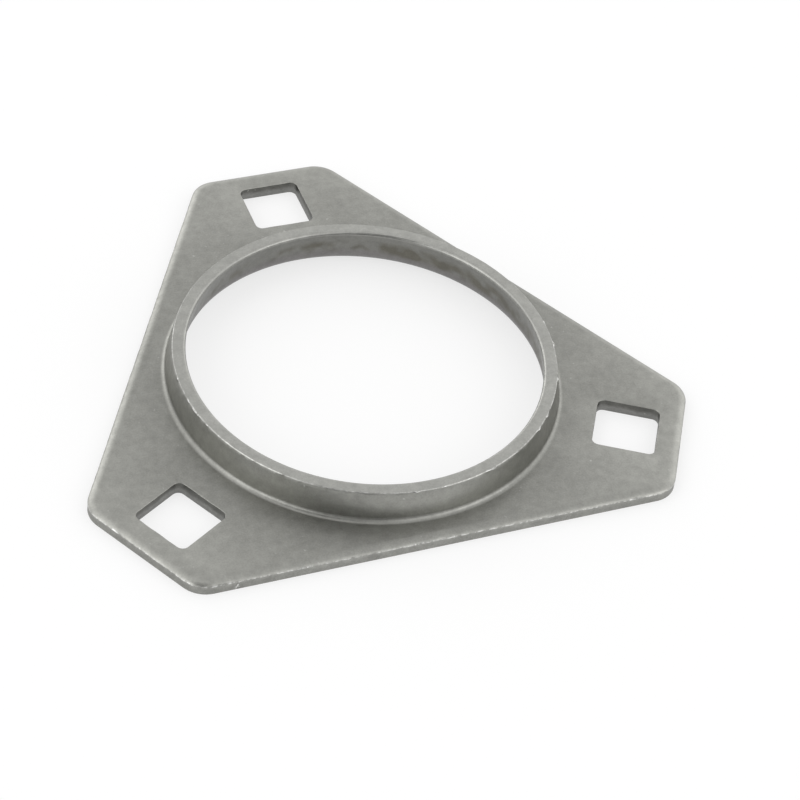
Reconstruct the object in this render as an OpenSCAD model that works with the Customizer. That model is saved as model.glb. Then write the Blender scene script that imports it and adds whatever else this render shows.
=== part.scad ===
// Pressed steel flange half for a ball bearing with a spherical outer ring.
// Two such halves clamp the bearing between them, mating face to mating face. This is one half.
// The origin is on the bore axis in the mating face, +Z points along the collar, and one corner points to +Y.

/* [Sheet] */
// Thickness of the steel sheet
sheet = 2; // [1.5:0.1:2.5]
// Inside radius of the bend between the plate and the collar
bend_inside_r = 0.8; // [0.5:0.1:1.4]

/* [Bearing seat] */
// Outside diameter of the bearing's spherical outer ring
bearing_d = 52; // [47:0.5:56]
// Radial clearance between the outer ring and the seat
seat_clearance = 0.1; // [0.05:0.05:0.3]
// Height of the collar's rim above the mating face
collar_h = 6.7; // [6:0.1:8]
// Radius that rounds the rim's inner edge
rim_round_r = 0.45; // [0.2:0.05:0.6]

/* [Plate outline] */
// Flat width of the plate between the bend and each long edge
long_edge_land = 3.1; // [1.8:0.05:6]
// Distance from the centre of each bolt hole to the short edge beside it
short_edge_margin = 7.9; // [6.5:0.1:9.5]
// Radius of the outline's rounded corners
corner_r = 4.2; // [2.5:0.1:6]
// Reach of the rolled top edge, inwards from the outline
roll_reach = 1.3; // [0.6:0.1:1.6]
// Drop of the rolled top edge where it meets the sheared wall
roll_drop = 0.5; // [0.2:0.05:0.8]

/* [Bolt holes] */
// Diameter of the circle through the centres of the holes
bolt_circle_d = 76.2; // [75:0.1:78]
// Side of each square hole
hole_side = 9; // [8:0.1:10]
// Radius of each hole's corners
hole_corner_r = 1; // [0.5:0.1:1.5]

/* [Hidden] */
$fn = 120;
// Directions of the three corners and of the three long edges
CORNER_ANGLES = [90, 210, 330];
LONG_EDGE_ANGLES = [30, 150, 270];
// Turn of the outline from a short edge to the long edge beside it
OUTLINE_TURN = 60;
// Overshoot of a cut past the faces that it opens
CUT_PAST = 1;
// Blending arcs are drawn this much larger than tangent, so that they cross the faces that they join
BLEND = 0.003;

// The seat and the outside of the collar are parts of two spheres about the origin
seat_r = bearing_d / 2 + seat_clearance;
collar_outside_r = seat_r + sheet;

// The bend's centre lies where the bend is tangent to the mating face and to the seat
bend_outside_r = bend_inside_r + sheet;
bend_centre_r = sqrt(pow(seat_r + bend_outside_r, 2) - pow(bend_outside_r, 2));
bend_centre = [bend_centre_r, bend_outside_r];
bend_angle = atan2(bend_outside_r, bend_centre_r);

// The rim's round has its centre where it is tangent to the rim's flat top and to the seat
rim_centre_z = collar_h - rim_round_r;
rim_centre_r = sqrt(pow(seat_r + rim_round_r, 2) - pow(rim_centre_z, 2));
rim_centre = [rim_centre_r, rim_centre_z];
rim_angle = atan2(rim_centre_z, rim_centre_r);

// Distances from the bore axis to the outline's edges
long_edge_dist = bend_centre_r + long_edge_land;
short_edge_dist = bolt_circle_d / 2 + short_edge_margin;

// Half lengths of the outline's edges between its sharp vertices
short_edge_half = (2 * long_edge_dist - short_edge_dist) * tan(OUTLINE_TURN / 2);
long_edge_half = (2 * short_edge_dist - long_edge_dist) * tan(OUTLINE_TURN / 2);

// The rolled edge is an arc that leaves the top face tangentially and ends on the sheared wall
roll_r = (pow(roll_reach, 2) + pow(roll_drop, 2)) / (2 * roll_drop);

function polar(r, angle) = [r * cos(angle), r * sin(angle)];

// Directions between two angles about a centre, out to a little more than the reach
module wedge(centre, from_angle, to_angle, reach) {
    polygon([
        centre,
        for (angle = [from_angle, (from_angle + to_angle) / 2, to_angle])
            centre + polar(2 * reach, angle)
    ]);
}

// What an arc of radius r takes off a sharp corner, between the directions of its two ends
module corner_cut(centre, r, from_angle, to_angle) {
    difference() {
        wedge(centre, from_angle, to_angle, r);
        translate(centre)
            circle(r + BLEND);
    }
}

// The blank's outline, a triangle with its corners cut off
module sharp_outline() {
    polygon([
        for (angle = CORNER_ANGLES, side = [-1, 1])
            polar(short_edge_dist, angle) + polar(side * short_edge_half, angle + 90)
    ]);
}

// What the roll takes off a top edge: x runs outwards from where the roll starts, y up from its centre
module roll_section() {
    difference() {
        square([roll_reach + CUT_PAST, roll_r + CUT_PAST]);
        circle(roll_r + BLEND);
    }
}

// The roll along one straight edge, whose wall faces the angle
module edge_roll(angle, edge_dist, edge_half) {
    rotate(angle)
        translate([edge_dist - roll_reach, edge_half, sheet - roll_r])
            rotate([90, 0, 0])
                linear_extrude(2 * edge_half)
                    roll_section();
}

// What is cut off one vertex of the outline: all that lies outside a disc with a rolled top edge
module vertex_cut(angle, side) {
    tangent_length = corner_r * tan(OUTLINE_TURN / 2);
    centre = polar(short_edge_dist - corner_r, angle)
        + polar(side * (short_edge_half - tangent_length), angle + 90);
    translate(centre)
        difference() {
            translate([0, 0, -CUT_PAST])
                linear_extrude(sheet + 2 * CUT_PAST)
                    wedge([0, 0], angle, angle + side * OUTLINE_TURN, corner_r);
            rotate_extrude()
                rolled_disc_section();
        }
}

module rolled_disc_section() {
    difference() {
        translate([0, -2 * CUT_PAST])
            square([corner_r + BLEND, sheet + 2 * CUT_PAST]);
        translate([corner_r + BLEND - roll_reach, sheet - roll_r])
            roll_section();
    }
}

// The flat blank with its rolled edge, before the bore and the holes
module blank() {
    difference() {
        linear_extrude(sheet)
            sharp_outline();
        for (angle = LONG_EDGE_ANGLES)
            edge_roll(angle, long_edge_dist, long_edge_half);
        for (angle = CORNER_ANGLES)
            edge_roll(angle, short_edge_dist, short_edge_half);
        for (angle = CORNER_ANGLES, side = [-1, 1])
            vertex_cut(angle, side);
    }
}

// Section of the drawn collar, filled in to the axis: a slice of a sphere, and the bend's hollow side
module collar_section() {
    intersection() {
        circle(collar_outside_r);
        square([collar_outside_r, collar_h]);
    }
    difference() {
        wedge(bend_centre, 180 + bend_angle, 270, bend_inside_r);
        translate(bend_centre)
            circle(bend_inside_r + BLEND);
    }
}

// Section of what the bearing's bore takes away: the seat, the bend's round mouth and the rounded rim
module bore_section() {
    intersection() {
        circle(seat_r);
        translate([0, -CUT_PAST])
            square([seat_r, collar_h + 2 * CUT_PAST]);
    }
    corner_cut(bend_centre, bend_outside_r, 180 + bend_angle, 270);
    corner_cut(rim_centre, rim_round_r, 90, 180 + rim_angle);
}

// A square hole with rounded corners, its sides parallel to the short edge beside it
module bolt_hole() {
    corner_place = hole_side / 2 - hole_corner_r;
    translate([0, 0, -CUT_PAST])
        linear_extrude(sheet + 2 * CUT_PAST)
            difference() {
                square(hole_side, center = true);
                for (turn = [0, 90, 180, 270])
                    rotate(turn)
                        corner_cut([corner_place, corner_place], hole_corner_r, 0, 90);
            }
}

// The whole stamping, one thickness of sheet throughout
module pressed_flange() {
    color("#9b9b95")
        difference() {
            union() {
                blank();
                rotate_extrude()
                    collar_section();
            }
            rotate_extrude()
                bore_section();
            for (angle = CORNER_ANGLES)
                rotate(angle)
                    translate([bolt_circle_d / 2, 0, 0])
                        bolt_hole();
        }
}

pressed_flange();
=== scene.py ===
"""One half of a pressed steel flange for a ball bearing, face down on a white table in soft light."""
import math

import bpy
from mathutils import Matrix, Vector, noise


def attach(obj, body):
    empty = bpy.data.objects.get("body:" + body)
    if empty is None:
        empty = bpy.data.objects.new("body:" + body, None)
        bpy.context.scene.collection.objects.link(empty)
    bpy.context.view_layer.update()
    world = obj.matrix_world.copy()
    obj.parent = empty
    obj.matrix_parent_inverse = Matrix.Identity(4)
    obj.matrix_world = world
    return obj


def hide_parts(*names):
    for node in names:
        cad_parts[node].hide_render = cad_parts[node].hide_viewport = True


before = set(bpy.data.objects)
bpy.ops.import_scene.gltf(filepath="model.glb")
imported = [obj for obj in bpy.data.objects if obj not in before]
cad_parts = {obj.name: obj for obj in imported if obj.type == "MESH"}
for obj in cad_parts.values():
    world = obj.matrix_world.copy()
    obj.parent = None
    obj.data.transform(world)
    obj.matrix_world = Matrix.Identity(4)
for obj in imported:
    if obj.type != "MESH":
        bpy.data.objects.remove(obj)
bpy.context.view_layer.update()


# The view
# A long lens looks down on the flange from its left front, and is rolled a little, as in a
# hand-held product shot.
MM = 0.001
camera_azimuth = math.radians(-26.593)
camera_elevation = math.radians(44.297)
camera_roll = math.radians(8.522)
camera_distance = 389.031 * MM
looked_at = Vector((4.400, -4.069, 0)) * MM
nearest_seen = 10 * MM
focal_length_px = 2735.226
picture_width_px = 800
sensor_width = 36.0


def towards(azimuth, elevation):
    """A direction: the azimuth turns it from -Y towards +X, and the elevation lifts it off the table."""
    level = math.cos(elevation)
    return Vector((math.sin(azimuth) * level, -math.cos(azimuth) * level, math.sin(elevation)))


backwards = towards(camera_azimuth, camera_elevation)
level_right = Vector((math.cos(camera_azimuth), math.sin(camera_azimuth), 0))
level_up = backwards.cross(level_right)
right = level_right * math.cos(camera_roll) + level_up * math.sin(camera_roll)
up = level_up * math.cos(camera_roll) - level_right * math.sin(camera_roll)

bpy.ops.object.select_all(action="DESELECT")
bpy.ops.object.camera_add(location=looked_at + backwards * camera_distance)
camera = bpy.context.object
camera.name = "camera"
camera.rotation_euler = Matrix((right, up, backwards)).transposed().to_euler()
camera.data.sensor_width = sensor_width
camera.data.lens = focal_length_px / picture_width_px * sensor_width
camera.data.clip_start = nearest_seen
bpy.context.scene.camera = camera
bpy.context.scene.view_settings.view_transform = "Standard"


# The flange
# One stamping of bright steel strip: the triangle is blanked, which rolls its top edge over, three
# square holes are punched, and the collar is drawn up round the bore as the seat of the bearing.
sheet = 2.0 * MM
bend_inside_r = 0.8 * MM
seat_r = 26.1 * MM
collar_h = 6.7 * MM
rim_round_r = 0.45 * MM
rim_burr = 0.06 * MM
worn_strip = 0.07 * MM
long_edge_land = 3.1 * MM
bolt_circle_r = 38.1 * MM
short_edge_margin = 7.9 * MM
corner_r = 4.2 * MM
roll_reach = 1.3 * MM
roll_drop = 0.5 * MM
edge_break = 0.05 * MM
hole_side = 9.0 * MM
hole_corner_r = 1.0 * MM
hole_edge_r = 0.12 * MM
corner_directions = (90, 210, 330)
outline_turn = 60
hole_turn = 90
ripple_step = 0.35 * MM
longest_step = ripple_step * 1.3
fewest_arc_steps = 6
weld_gap = 0.001 * MM


def polar(r, degrees, z=0.0):
    return Vector((r * math.cos(math.radians(degrees)), r * math.sin(math.radians(degrees)), z))


def start_at(name, place):
    """A new object of one selected point, left in edit mode."""
    bpy.ops.object.select_all(action="DESELECT")
    bpy.ops.mesh.primitive_plane_add(size=MM)
    piece = bpy.context.object
    piece.name = piece.data.name = name
    bpy.ops.object.mode_set(mode="EDIT")
    bpy.ops.mesh.select_mode(type="VERT")
    bpy.ops.mesh.select_all(action="SELECT")
    bpy.ops.mesh.merge(type="CENTER")
    bpy.ops.transform.translate(value=place)
    return piece


def sweep(degrees, centre, steps, axis):
    """Spins what is selected about the axis by the right-hand rule, and leaves its end selected."""
    bpy.ops.mesh.spin(steps=steps, angle=math.radians(degrees), center=centre, axis=-Vector(axis))


def draw_to(start, end, steps=1):
    """Draws a straight line on from the selected point at the start."""
    for _ in range(steps):
        bpy.ops.mesh.extrude_region_move(TRANSFORM_OT_translate={"value": (end - start) / steps})


def raise_by(rise):
    """Draws walls up, or down, from the selected face, which moves along."""
    bpy.ops.mesh.extrude_region_move(TRANSFORM_OT_translate={"value": (0, 0, rise)})


def pick(piece, kind, wanted):
    """Selects only the wanted vertices, edges or faces of a piece in edit mode, and counts them."""
    bpy.ops.mesh.select_mode(type={"vertices": "VERT", "edges": "EDGE", "polygons": "FACE"}[kind])
    bpy.ops.mesh.select_all(action="DESELECT")
    bpy.ops.object.mode_set(mode="OBJECT")
    found = 0
    for part in getattr(piece.data, kind):
        part.select = wanted(part)
        found += part.select
    bpy.ops.object.mode_set(mode="EDIT")
    return found


def rounded_loop(name, z, corners, radius, turn):
    """A face with rounded corners, each given by its round's centre and the direction it starts in."""
    starts = [centre + polar(radius, direction, z) for centre, direction in corners]
    piece = start_at(name, starts[0])
    arc_steps = max(fewest_arc_steps, round(radius * math.radians(turn) / ripple_step))
    for i, (centre, direction) in enumerate(corners):
        sweep(turn, centre, arc_steps, (0, 0, 1))
        draw_to(centre + polar(radius, direction + turn, z), starts[(i + 1) % len(starts)])
    bpy.ops.mesh.select_all(action="SELECT")
    bpy.ops.mesh.remove_doubles(threshold=weld_gap)

    def is_long(edge):
        a, b = (piece.data.vertices[i].co for i in edge.vertices)
        return (a - b).length > longest_step

    while pick(piece, "edges", is_long):
        bpy.ops.mesh.subdivide(number_cuts=1)
    bpy.ops.mesh.select_mode(type="VERT")
    bpy.ops.mesh.select_all(action="SELECT")
    bpy.ops.mesh.edge_face_add()
    piece.update_from_editmode()
    if piece.data.polygons[0].normal.z < 0:
        bpy.ops.mesh.flip_normals()
    return piece


def is_cap(face):
    return len(face.vertices) > 4


def open_caps(piece):
    """Takes away the flat top and bottom that a loop's walls were drawn from, and leaves edit mode."""
    pick(piece, "polygons", is_cap)
    bpy.ops.mesh.delete(type="ONLY_FACE")
    bpy.ops.object.mode_set(mode="OBJECT")


# The blank: its sheared wall with a broken lower edge, and the rolled upper edge
bend_outside_r = bend_inside_r + sheet
bend_centre_r = math.sqrt((seat_r + bend_outside_r) ** 2 - bend_outside_r ** 2)
bend_angle = math.degrees(math.atan2(bend_outside_r, bend_centre_r))
long_edge_dist = bend_centre_r + long_edge_land
short_edge_dist = bolt_circle_r + short_edge_margin
half_turn_tan = math.tan(math.radians(outline_turn / 2))
short_edge_half = (2 * long_edge_dist - short_edge_dist) * half_turn_tan
outline_corners = [
    (polar(short_edge_dist - corner_r, direction)
     + polar(side * (short_edge_half - corner_r * half_turn_tan), direction + 90),
     direction + (side - 1) * outline_turn / 2)
    for direction in corner_directions for side in (-1, 1)
]
wall_top = sheet - roll_drop
wall_heights = [edge_break, 0.35 * MM, 0.8 * MM, 1.1 * MM, wall_top - 0.2 * MM, wall_top]
roll_r = (roll_reach ** 2 + roll_drop ** 2) / (2 * roll_drop)
roll_turn = math.asin(roll_reach / roll_r)
roll_steps = 9

flange = rounded_loop("pressed_steel_flange", edge_break, outline_corners, corner_r, outline_turn)
for low, high in zip(wall_heights, wall_heights[1:]):
    raise_by(high - low)
for step in range(roll_steps):
    before, after = (roll_turn * (1 - (step + k) / roll_steps) for k in (0, 1))
    bpy.ops.mesh.inset(
        thickness=roll_r * (math.sin(before) - math.sin(after)),
        depth=roll_r * (math.cos(after) - math.cos(before)),
    )
pick(flange, "polygons", lambda face: is_cap(face) and face.center.z < sheet / 2)
bpy.ops.mesh.inset(thickness=edge_break, depth=edge_break)
open_caps(flange)

# The punched holes: each is sunk from the top as a pocket with a rounded mouth, and its bottom is opened
hole_pieces = []
hole_levels = [sheet - hole_edge_r, 1.4 * MM, 0.9 * MM, 0.4 * MM, edge_break, 0.0]
mouth_angles = [math.radians(angle) for angle in (90, 60, 30, 0)]
corner_place = (hole_side / 2 - hole_corner_r) * math.sqrt(2)
widened = 1 + 2 * edge_break / hole_side
for direction in corner_directions:
    middle = polar(bolt_circle_r, direction)
    corners = [
        (middle + polar(corner_place, direction + 45 + turn), direction + turn)
        for turn in (0, 90, 180, 270)
    ]
    hole = rounded_loop("punched_hole", sheet, corners, hole_corner_r + hole_edge_r, hole_turn)
    for upper, lower in zip(mouth_angles, mouth_angles[1:]):
        bpy.ops.mesh.inset(
            thickness=hole_edge_r * (math.cos(lower) - math.cos(upper)),
            depth=hole_edge_r * (math.sin(lower) - math.sin(upper)),
        )
    for high, low in zip(hole_levels, hole_levels[1:]):
        raise_by(low - high)
    bpy.ops.transform.resize(value=(widened, widened, 1), center_override=middle)
    open_caps(hole)
    hole_pieces.append(hole)

# The collar: its section is drawn from the plate up the outside, over the rim and down the seat, then spun
collar_outside_r = seat_r + sheet
bend_centre = Vector((bend_centre_r, 0, bend_outside_r))
rim_centre_z = collar_h - rim_round_r
rim_centre = Vector((math.sqrt((seat_r + rim_round_r) ** 2 - rim_centre_z ** 2), 0, rim_centre_z))
rim_angle = math.degrees(math.atan2(rim_centre.z, rim_centre.x))
rim_outer_r = math.sqrt(collar_outside_r ** 2 - collar_h ** 2)
wall_end_z = collar_h - rim_burr
wall_end_angle = math.degrees(math.asin(wall_end_z / collar_outside_r))
wall_end = polar(collar_outside_r * math.cos(math.radians(wall_end_angle)), 0, wall_end_z)
strip_angle = math.degrees(worn_strip / collar_outside_r)
rim_start = Vector((rim_outer_r - rim_burr, 0, collar_h))
rim_flat = rim_start - Vector((worn_strip, 0, 0))
rim_flat_end = Vector((rim_centre.x, 0, collar_h))
bore_axis = (0, 0, 1)
across = (0, 1, 0)
steps_up_the_bend = 12
steps_up_the_wall = 9
steps_over_the_flat = 5
steps_round_the_rim = 8
steps_down_the_seat = 8
steps_down_the_mouth = 14
steps_about_the_bore = 482

collar = start_at("drawn_collar", Vector((bend_centre_r, 0, sheet)))
sweep(90 - bend_angle, bend_centre, steps_up_the_bend, across)
sweep(bend_angle - wall_end_angle + strip_angle, (0, 0, 0), steps_up_the_wall, across)
sweep(-strip_angle, (0, 0, 0), 1, across)
draw_to(wall_end, rim_start)
draw_to(rim_start, rim_flat)
draw_to(rim_flat, rim_flat_end, steps_over_the_flat)
sweep(-90 - rim_angle, rim_centre, steps_round_the_rim, across)
sweep(rim_angle - bend_angle, (0, 0, 0), steps_down_the_seat, across)
sweep(bend_angle - 90, bend_centre, steps_down_the_mouth, across)
bpy.ops.mesh.select_all(action="SELECT")
sweep(360, (0, 0, 0), steps_about_the_bore, bore_axis)
bpy.ops.mesh.select_all(action="SELECT")
bpy.ops.mesh.remove_doubles(threshold=weld_gap)
bpy.ops.object.mode_set(mode="OBJECT")

# All one sheet: the flat of the plate is filled in between the edges, above and below
bpy.ops.object.select_all(action="DESELECT")
for piece in [flange, collar] + hole_pieces:
    piece.select_set(True)
bpy.context.view_layer.objects.active = flange
bpy.ops.object.join()
bpy.ops.object.mode_set(mode="EDIT")
for level in (sheet, 0.0):
    uses = {}
    for face in flange.data.polygons:
        for key in face.edge_keys:
            uses[key] = uses.get(key, 0) + 1

    def is_open_edge(edge):
        at_level = all(abs(flange.data.vertices[i].co.z - level) < 2 * weld_gap for i in edge.vertices)
        return at_level and uses.get(edge.key) == 1

    pick(flange, "edges", is_open_edge)
    bpy.ops.mesh.fill(use_beauty=True)
bpy.ops.mesh.select_all(action="SELECT")
bpy.ops.mesh.normals_make_consistent(inside=False)
bpy.ops.object.mode_set(mode="OBJECT")

# The tool marks
# The shear left a wandering line along the top of the wall and a torn wall below it, trimming left a
# fine burr round the rim, and the punch pulled the holes' mouths a little out of line.
plate_from_r = bend_centre_r + 1 * MM
line_tolerance = 0.01 * MM
torn_from = 0.2 * MM
torn_to = wall_top - 0.25 * MM
hole_area_r = hole_side * 0.75
hole_middles = [polar(bolt_circle_r, direction).xy for direction in corner_directions]
mouth_depth = hole_edge_r * 1.1
burr_size = rim_burr * 1.2
nick_x = -29.15 * MM
nick_half_width = ripple_step * 0.6
near_wall_y = -long_edge_dist + 0.3 * MM
noise_cap = 0.5
line_wear_and_glint = 0.35
rim_wear_and_glint = 0.3
lump_wear_and_glint = 6
lump_spacing = 1.1 * MM
lump_threshold = 0.2
lump_reach = 0.5 * MM
smooth_up_to = math.radians(28)


def is_at_hole(place):
    return any((place.xy - middle).length < hole_area_r for middle in hole_middles)


def is_outline(place):
    return place.xy.length > plate_from_r and not is_at_hole(place)


def is_shear_line(place):
    return abs(place.z - wall_top) < line_tolerance and is_outline(place)


def is_torn_wall(place):
    return torn_from < place.z < torn_to and is_outline(place)


def is_hole_mouth(place):
    return place.z > sheet - mouth_depth and is_at_hole(place)


def is_rim_edge(place):
    return place.z > collar_h - burr_size and place.xy.length > rim_outer_r - burr_size


def is_nick(place):
    return abs(place.x - nick_x) < nick_half_width and place.y < near_wall_y and is_torn_wall(place)


def outwards(place):
    return Vector((place.x, place.y, 0)).normalized()


def upwards(place):
    return Vector((0, 0, 1))


def points_where(wanted):
    return [i for i, point in enumerate(flange.data.vertices) if wanted(point.co)]


# Each mark's points move against its direction, by up to 1.5 times the first length and in waves of the
# second. The cap on the noise keeps them from moving out of the sheet.
shear_line = points_where(is_shear_line)
rim_edge = points_where(is_rim_edge)
nick = points_where(is_nick)
for wanted, way, wander, wave in (
    (is_shear_line, upwards, 0.14 * MM, 2.3 * MM),
    (is_shear_line, upwards, 0.05 * MM, 0.6 * MM),
    (is_torn_wall, outwards, 0.05 * MM, 0.8 * MM),
    (is_hole_mouth, outwards, 0.06 * MM, 1.5 * MM),
    (is_rim_edge, outwards, 0.03 * MM, 1.3 * MM),
    (is_rim_edge, outwards, 0.03 * MM, 0.5 * MM),
    (is_nick, outwards, 0.25 * MM, 50 * MM),
):
    for i in points_where(wanted):
        point = flange.data.vertices[i]
        place = point.co.copy()
        point.co += way(place) * wander * (min(noise.noise(place / wave), noise_cap) - noise_cap)
# The shear line, the nick and the rim's edge with its lumps get bright flecks through this attribute:
# partly burnished steel, partly painted highlight
wear_and_glint = flange.data.attributes.new("wear_and_glint", "FLOAT", "POINT")
for i in shear_line + nick:
    wear_and_glint.data[i].value = line_wear_and_glint
for i in rim_edge:
    point = flange.data.vertices[i]
    farther_back = max(0.0, point.co.y / rim_outer_r)
    lump = max(0.0, noise.noise(point.co / lump_spacing) - lump_threshold - farther_back)
    point.co += outwards(point.co) * lump * lump_reach
    wear_and_glint.data[i].value = min(1.0, rim_wear_and_glint + lump_wear_and_glint * lump)
flange.data.update()
bpy.ops.object.shade_smooth_by_angle(angle=smooth_up_to)

# The finishes
# It is bare steel all over, which shows on each face how that face was made: tumbled sheet, sheared or
# punched walls, a trimmed rim, and a seat that the punch drew smooth. Part of the colour is painted light
# and shade: the seat and the holes' walls are painted darker, the sheared walls' torn band is partly
# painted shade, the sheet has painted shade in the bend and painted light on the collar's wall, and the
# bright edges and the strip under the rim are partly painted highlight.
SHEET, SHEARED, PUNCHED, RIM, SEAT = range(5)
rim_from = collar_h - 0.12 * MM
mouth_to = bend_outside_r * 0.3
upright_below = 0.5
for face in flange.data.polygons:
    middle = face.center
    if middle.z > rim_from:
        face.material_index = RIM
    elif middle.xy.length < bend_centre_r:
        outside = middle.length > (seat_r + collar_outside_r) / 2
        face.material_index = SHEET if outside and middle.z > mouth_to else SEAT
    elif abs(face.normal.z) < upright_below:
        face.material_index = SHEARED if is_outline(middle) else PUNCHED

glancing_tint = (0.85, 0.85, 0.85, 1)
# The bright flecks' colour on the edges is partly burnished steel and partly painted highlight
polish_and_glint_colour = (0.78, 0.78, 0.76)
specks = (0.50, 0.50, 0.48)
speck_spacing = 0.55 * MM
lower_seat = (0.215, 0.205, 0.205)
stains = (0.130, 0.123, 0.101)
most_stained = 0.8
noise_low, noise_high, noise_roughness = 0.3, 0.7, 0.6
# Each pattern: its spacing, its detail, and how low and high it goes
torn_border_waver = (1.6 * MM, 3, -0.2 * MM, 0.2 * MM)
stain_blotches = (2.8 * MM, 1, -0.9, 1.1)
polish_and_glint_flecks = (0.6 * MM, 3, -0.9, 1.9)
shine_patches = (0.9 * MM, 3, 1.15, 0.85)
grain_patterns = ((0.25 * MM, 3, 0, 1), (1.0 * MM, 2, 0, 1.5))
# Each layer of mottling: its spacing, its detail, and its share of the finish's mottle
mottle_layers = ((6 * MM, 2, 0.5), (1.2 * MM, 4, 1.0), (0.25 * MM, 2, 0.8))
# Each change along a height or distance: where it starts and ends, and what it goes from and to
torn_border = (1.4 * MM, 0.8 * MM, 0, 1)
lower_seat_fade = (3.4 * MM, 2.4 * MM, 0, 0.7)
stains_from_below = (2.2 * MM, 3.4 * MM, 0, 1)
stains_from_above = (5.4 * MM, 4.0 * MM, 0, 1)
stains_to_the_right = (2 * MM, 16 * MM, 0, 0.7)
rim_highlight_fade = (6.1 * MM, 6.6 * MM, 0, 1)
# Painted light and shade: darker by the collar and in the bend, lighter towards the corners and on the
# collar's wall, a little darker at the wall's top
painted_shade_from_collar = (30 * MM, 46 * MM, 0.93, 1.16)
painted_shade_at_wall_foot = (2.3 * MM, 3.0 * MM, 0.92, 1.10)
painted_shade_at_wall_top = (4.7 * MM, 6.2 * MM, 1.10, 0.97)
speck_threshold = (0.82, 0.90, 0, 0.7)


def reckon(tree, operation, *values):
    """What a Math node makes of numbers and of other nodes' outputs."""
    node = tree.nodes.new("ShaderNodeMath")
    node.operation = operation
    for socket, value in zip(node.inputs, values):
        if isinstance(value, (int, float)):
            socket.default_value = value
        else:
            tree.links.new(value, socket)
    return node.outputs[0]


def stretch(tree, value, start, end, low, high):
    """Goes from low to high as the value goes from start to end, and no further."""
    node = tree.nodes.new("ShaderNodeMapRange")
    for socket, number in zip(list(node.inputs)[1:5], (start, end, low, high)):
        socket.default_value = number
    tree.links.new(value, node.inputs["Value"])
    return node.outputs["Result"]


def blend(tree, factor, first, second, kind="MIX"):
    """A colour between two colours, which are tuples or other nodes' outputs."""
    node = tree.nodes.new("ShaderNodeMix")
    node.data_type = "RGBA"
    node.blend_type = kind
    sockets = [socket for socket in node.inputs if socket.enabled]
    for socket, value in zip(sockets, (factor, first, second)):
        if isinstance(value, (int, float, tuple)):
            socket.default_value = (*value, 1) if isinstance(value, tuple) else value
        else:
            tree.links.new(value, socket)
    return next(socket for socket in node.outputs if socket.enabled)


def place_on_flange(tree):
    """Where each point lies on the flange itself, from one node that all patterns share."""
    node = tree.nodes.get("Texture Coordinate") or tree.nodes.new("ShaderNodeTexCoord")
    return node.outputs["Object"]


def along_axes(tree):
    """How far along X, Y and Z each point of the flange lies."""
    node = tree.nodes.new("ShaderNodeSeparateXYZ")
    tree.links.new(place_on_flange(tree), node.inputs[0])
    return node.outputs


def spots(tree, spacing, detail):
    """A noise texture whose spots lie that far apart."""
    texture = tree.nodes.new("ShaderNodeTexNoise")
    texture.inputs["Scale"].default_value = 1 / spacing
    texture.inputs["Detail"].default_value = detail
    tree.links.new(place_on_flange(tree), texture.inputs["Vector"])
    return texture


def pattern(tree, spacing, detail, low, high, times=1.0):
    """A noise of that spacing, which mostly runs from low to high, times a factor."""
    texture = spots(tree, spacing, detail)
    texture.inputs["Roughness"].default_value = noise_roughness
    return stretch(tree, texture.outputs["Fac"], noise_low, noise_high, low * times, high * times)


def sheared_colour(tree, cut, torn):
    """The blade's smooth cut down to a wavering border, and the torn steel below it."""
    height = along_axes(tree)["Z"]
    border = reckon(tree, "ADD", height, pattern(tree, *torn_border_waver))
    return blend(tree, stretch(tree, border, *torn_border), cut, torn)


def seat_colour(tree, drawn, top):
    """Drawn steel that is greyer low down, with soft brown stains, and a painted highlight as a bright
    strip under the rim.
    """
    axes = along_axes(tree)
    height = axes["Z"]
    colour = blend(tree, stretch(tree, height, *lower_seat_fade), drawn, lower_seat)
    above_foot = stretch(tree, height, *stains_from_below)
    below_rim = stretch(tree, height, *stains_from_above)
    to_the_right = stretch(tree, axes["X"], *stains_to_the_right)
    blotches = reckon(tree, "ADD", pattern(tree, *stain_blotches), to_the_right)
    blotches = reckon(tree, "MULTIPLY", reckon(tree, "MULTIPLY", above_foot, below_rim), blotches)
    blotches = reckon(tree, "MINIMUM", reckon(tree, "MAXIMUM", blotches, 0.0), most_stained)
    colour = blend(tree, blotches, colour, stains)
    return blend(tree, stretch(tree, height, *rim_highlight_fade), colour, top)


def mottling(tree, mottle):
    """Patches, blots and grains that are a little lighter or darker than the rest."""
    shade = 1.0
    for spacing, detail, share in mottle_layers:
        layer = pattern(tree, spacing, detail, 1 - mottle * share, 1 + mottle * share)
        shade = reckon(tree, "MULTIPLY", shade, layer)
    return shade


def painted_light_and_shade(tree):
    """Painted light and shade: darker in the bend and on the plate by the collar, lighter towards the
    corners and on the collar's wall, and a little darker at the wall's top.
    """
    x, y, z = along_axes(tree)
    squares = [reckon(tree, "MULTIPLY", way, way) for way in (x, y)]
    from_axis = reckon(tree, "SQRT", reckon(tree, "ADD", *squares))
    wall = reckon(tree, "MINIMUM", stretch(tree, z, *painted_shade_at_wall_foot), stretch(tree, z, *painted_shade_at_wall_top))
    return reckon(tree, "MAXIMUM", stretch(tree, from_axis, *painted_shade_from_collar), wall)


def polish_and_glint(tree, glint_and_wear):
    """Bright flecks on the edges that the mesh's attribute marks, partly burnished steel and partly
    painted highlight.
    """
    edge = tree.nodes.new("ShaderNodeAttribute")
    edge.attribute_name = "wear_and_glint"
    flecks = reckon(tree, "MULTIPLY", edge.outputs["Fac"], pattern(tree, *polish_and_glint_flecks, glint_and_wear))
    return reckon(tree, "MINIMUM", reckon(tree, "MAXIMUM", flecks, 0.0), 1.0)


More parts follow.
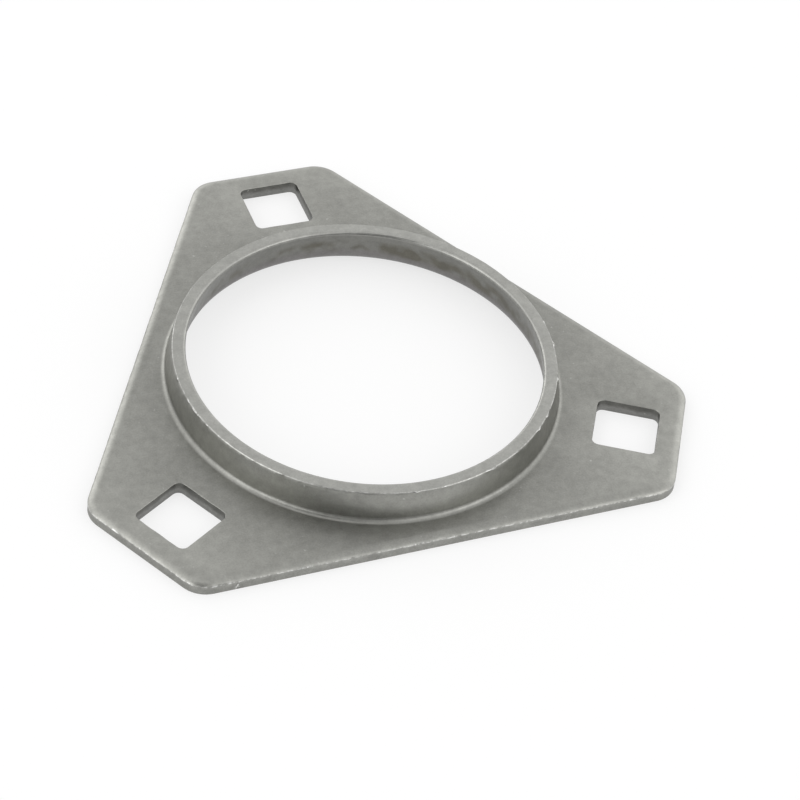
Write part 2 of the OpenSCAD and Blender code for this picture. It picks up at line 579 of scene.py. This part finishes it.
def steel_finish(name, colour, roughness, mottle, grain,
                 glint_and_wear=1.0, painted_shading=False, torn_colour=None, rim_highlight_colour=None):
    """Steel whose colour, shine and surface all vary, as on a part that was tumbled to deburr it."""
    material = bpy.data.materials.new(name)
    material.use_nodes = True
    tree = material.node_tree
    shader = tree.nodes["Principled BSDF"]
    shader.inputs["Metallic"].default_value = 1
    shader.inputs["Specular Tint"].default_value = glancing_tint
    if torn_colour:
        colour = sheared_colour(tree, colour, torn_colour)
    if rim_highlight_colour:
        colour = seat_colour(tree, colour, rim_highlight_colour)
    shade = mottling(tree, mottle)
    # Painted light and shade by place, multiplied into the mottle
    if painted_shading:
        shade = reckon(tree, "MULTIPLY", shade, painted_light_and_shade(tree))
    colour = blend(tree, 1.0, colour, shade, "MULTIPLY")
    if not rim_highlight_colour:
        struck = stretch(tree, spots(tree, speck_spacing, 0).outputs["Fac"], *speck_threshold)
        colour = blend(tree, struck, colour, specks)
    tree.links.new(blend(tree, polish_and_glint(tree, glint_and_wear), colour, polish_and_glint_colour), shader.inputs["Base Color"])
    tree.links.new(pattern(tree, *shine_patches, roughness), shader.inputs["Roughness"])
    bump = tree.nodes.new("ShaderNodeBump")
    bump.inputs["Distance"].default_value = grain
    fine, coarse = (pattern(tree, *values) for values in grain_patterns)
    tree.links.new(reckon(tree, "ADD", fine, coarse), bump.inputs["Height"])
    tree.links.new(bump.outputs["Normal"], shader.inputs["Normal"])
    return material


for finish in (
    steel_finish("tumbled_sheet", (0.323, 0.323, 0.301),
                 roughness=0.38, mottle=0.09, grain=0.004 * MM, painted_shading=True),
    # The sheared wall's lower, torn band is darker, partly torn steel and partly painted shade near the
    # table
    steel_finish("sheared_wall", (0.35, 0.35, 0.329),
                 roughness=0.40, mottle=0.12, grain=0.008 * MM, glint_and_wear=3.0, torn_colour=(0.30, 0.30, 0.281)),
    # The punched walls are painted much darker than the sheared walls, as painted shade inside the holes
    steel_finish("punched_wall", (0.13, 0.13, 0.120),
                 roughness=0.40, mottle=0.12, grain=0.008 * MM, torn_colour=(0.23, 0.23, 0.22)),
    steel_finish("trimmed_rim", (0.40, 0.40, 0.377),
                 roughness=0.36, mottle=0.09, grain=0.005 * MM),
    # The seat is painted darker than the sheet, as painted shade inside the bore, and the bright strip
    # under its rim is a painted highlight
    steel_finish("drawn_seat", (0.210, 0.210, 0.196),
                 roughness=0.33, mottle=0.09, grain=0.004 * MM, rim_highlight_colour=(0.39, 0.39, 0.369)),
):
    flange.data.materials.append(finish)

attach(flange, "root")
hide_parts("pressed_flange")


# The table
# The flange lies with its mating face on a matt white table, which takes its shadow. From below, the
# table isn't seen, so that it doesn't hide the flange.
table_side = 4
table_drop = 0.01 * MM
table_white = 0.95
white_share = 0.7


def seen_by(tree, kinds):
    """1 for a ray of any of the kinds, and 0 for every other ray."""
    ray = tree.nodes.new("ShaderNodeLightPath").outputs
    seen = ray[kinds[0]]
    for kind in kinds[1:]:
        seen = reckon(tree, "MAXIMUM", seen, ray[kind])
    return seen


bpy.ops.object.select_all(action="DESELECT")
bpy.ops.mesh.primitive_plane_add(size=table_side, location=(0, 0, -table_drop))
table = bpy.context.object
table.name = "table"
matt_white = bpy.data.materials.new("matt_white")
matt_white.use_nodes = True
tree = matt_white.node_tree
tree.nodes.clear()
paint = tree.nodes.new("ShaderNodeBsdfDiffuse")
paint.inputs["Color"].default_value = (table_white, table_white, table_white, 1)
plain_white = tree.nodes.new("ShaderNodeEmission")
seen = seen_by(tree, ("Is Camera Ray", "Is Glossy Ray", "Is Transmission Ray"))
surface = tree.nodes.new("ShaderNodeMixShader")
tree.links.new(reckon(tree, "MULTIPLY", seen, white_share), surface.inputs["Fac"])
tree.links.new(paint.outputs["BSDF"], surface.inputs[1])
tree.links.new(plain_white.outputs["Emission"], surface.inputs[2])
one_sided = tree.nodes.new("ShaderNodeMixShader")
tree.links.new(tree.nodes.new("ShaderNodeNewGeometry").outputs["Backfacing"], one_sided.inputs["Fac"])
tree.links.new(surface.outputs["Shader"], one_sided.inputs[1])
tree.links.new(tree.nodes.new("ShaderNodeBsdfTransparent").outputs["BSDF"], one_sided.inputs[2])
tree.links.new(one_sided.outputs["Shader"], tree.nodes.new("ShaderNodeOutputMaterial").inputs["Surface"])
table.data.materials.append(matt_white)


# The light
# A white tent stands over the table, with soft lamps behind its cloth: two on the camera's side and two
# low behind the flange. Darker openings in it lie above and below the camera. Looked straight at, it is
# a plain white backdrop.
tent_level = 0.3
# Each light: its brightness, its azimuth and elevation in degrees, and how small it is
tent_lights = (
    ("left_lamp", 3.16, 308.0, 38.0, 3.5),
    ("right_lamp", 1.67, 42.0, 26.0, 14.0),
    ("low_left_lamp", 2.0, 196.0, 12.0, 10.0),
    ("low_right_lamp", 1.35, 116.0, 12.0, 4.0),
    ("opening", -3.73, 318.0, 52.0, 14.0),
    ("low_opening", -2.62, 334.0, 2.0, 7.7),
)
tent = bpy.data.worlds.new("light_tent")
bpy.context.scene.world = tent
tent.use_nodes = True
tree = tent.node_tree
tree.nodes.clear()
direction = tree.nodes.new("ShaderNodeTexCoord").outputs["Generated"]
brightness = tent_level
for name, level, azimuth, elevation, smallness in tent_lights:
    facing = tree.nodes.new("ShaderNodeVectorMath")
    facing.name = name
    facing.operation = "DOT_PRODUCT"
    facing.inputs[1].default_value = towards(math.radians(azimuth), math.radians(elevation))
    tree.links.new(direction, facing.inputs[0])
    spread = reckon(tree, "MULTIPLY_ADD", facing.outputs["Value"], smallness, -smallness)
    brightness = reckon(tree, "MULTIPLY_ADD", reckon(tree, "EXPONENT", spread), level, brightness)
# What is seen directly or through glass is plain white. What the steel reflects is the tent itself,
# because bare steel has no other light.
tent_or_white = tree.nodes.new("ShaderNodeMix")
tree.links.new(seen_by(tree, ("Is Camera Ray", "Is Transmission Ray")), tent_or_white.inputs["Factor"])
tree.links.new(reckon(tree, "MAXIMUM", brightness, 0.0), tent_or_white.inputs["A"])
tent_or_white.inputs["B"].default_value = 1.0
cloth = tree.nodes.new("ShaderNodeBackground")
cloth.inputs["Color"].default_value = (1, 1, 1, 1)
tree.links.new(tent_or_white.outputs["Result"], cloth.inputs["Strength"])
tree.links.new(cloth.outputs["Background"], tree.nodes.new("ShaderNodeOutputWorld").inputs["Surface"])
